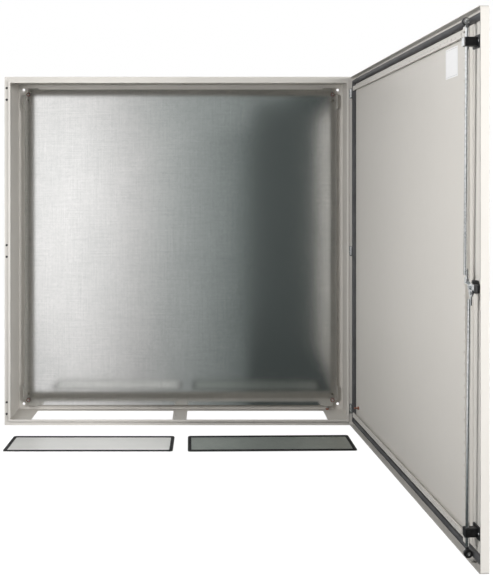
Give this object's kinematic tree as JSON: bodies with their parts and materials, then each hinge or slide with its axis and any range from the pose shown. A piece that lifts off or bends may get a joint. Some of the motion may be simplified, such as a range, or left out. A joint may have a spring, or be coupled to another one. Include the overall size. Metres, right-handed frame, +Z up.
{
  "type": "steel wall enclosure",
  "caption": "Square sheet-steel wall enclosure with a side-hinged door on a rod lock, a galvanised mounting plate and bottom gland plates taken off and laid in front.",
  "frame": {"origin": "centre of the four wall holes, on the rear face of the body", "axes": "+Z up, +X to the right of a person who faces the door, -Y out of the wall towards that person"},
  "size_m": [1.2889, 1.4235, 1.2],
  "materials": {
    "paint": "fine-textured light grey powder coat",
    "galvanised": "galvanised sheet",
    "zinc": "bright zinc plate",
    "foam": "foamed polyurethane seal",
    "black_plastic": "moulded polyamide",
    "copper": "copper-plated nut"
  },
  "bodies": {
    "body": {"left_wall": "paint", "right_wall": "paint", "top_wall": "paint", "bottom_wall": "paint", "rear_wall": "paint", "mounting_plate": "galvanised", "plate_studs": "zinc", "plate_spacers": "zinc", "plate_washers": "zinc", "plate_nuts": "zinc", "hinge_bases": "zinc", "hinge_screws": "zinc", "hinge_pins": "zinc", "hole_plugs": "black_plastic", "earth_stud": "zinc", "earth_nut": "copper", "gland_plate_left": "galvanised", "gland_foam_left": "foam", "gland_plate_right": "galvanised", "gland_foam_right": "foam"},
    "door": {"door_shell": "paint", "door_seal": "foam", "rail_top": "paint", "rail_bottom": "paint", "rail_lock_side": "paint", "hinge_leaves": "zinc", "lock_barrel": "black_plastic", "lock_nut": "black_plastic", "rod_guide_upper": "black_plastic", "rod_guide_lower": "black_plastic", "guide_cap": "zinc", "door_earth_stud": "zinc", "door_earth_nut": "copper"},
    "lock": {"lock_insert": "zinc", "lock_cam": "zinc", "cam_pins": "zinc", "cam_screw": "zinc"},
    "upper_rod": {"upper_rod": "zinc", "upper_roller_pin": "zinc"},
    "lower_rod": {"lower_rod": "zinc", "lower_roller_pin": "zinc"},
    "upper_roller": {"upper_roller": "black_plastic"},
    "lower_roller": {"lower_roller": "black_plastic"}
  },
  "joints": [
    {"name": "door_hinge", "type": "hinge", "parent": "body", "child": "door", "pos_m": [0.5925, -0.2365, 0], "axis": [0, 0, 1], "range_deg": [-94, 21]},
    {"name": "lock_turn", "type": "hinge", "parent": "door", "child": "lock", "pos_m": [0.66659, -1.36057, 0], "axis": [-0.9976, -0.0698, 0], "range_deg": [0, 90]},
    {"name": "upper_rod_slide", "type": "slide", "parent": "door", "child": "upper_rod", "axis": [0, 0, 1], "range_m": [-0.02334, 0]},
    {"name": "lower_rod_slide", "type": "slide", "parent": "door", "child": "lower_rod", "axis": [0, 0, -1], "range_m": [-0.02334, 0]},
    {"name": "upper_roller_spin", "type": "hinge", "parent": "upper_rod", "child": "upper_roller", "pos_m": [0.66011, -1.36102, 0.5736], "axis": [-0.0698, 0.9976, 0], "continuous": true},
    {"name": "lower_roller_spin", "type": "hinge", "parent": "lower_rod", "child": "lower_roller", "pos_m": [0.66011, -1.36102, -0.5736], "axis": [-0.0698, 0.9976, 0], "continuous": true}
  ],
  "couplings": [
    {"joint": "upper_rod_slide", "follows": "lock_turn", "m_per_rad": -0.014855},
    {"joint": "lower_rod_slide", "follows": "lock_turn", "m_per_rad": -0.014855}
  ]
}
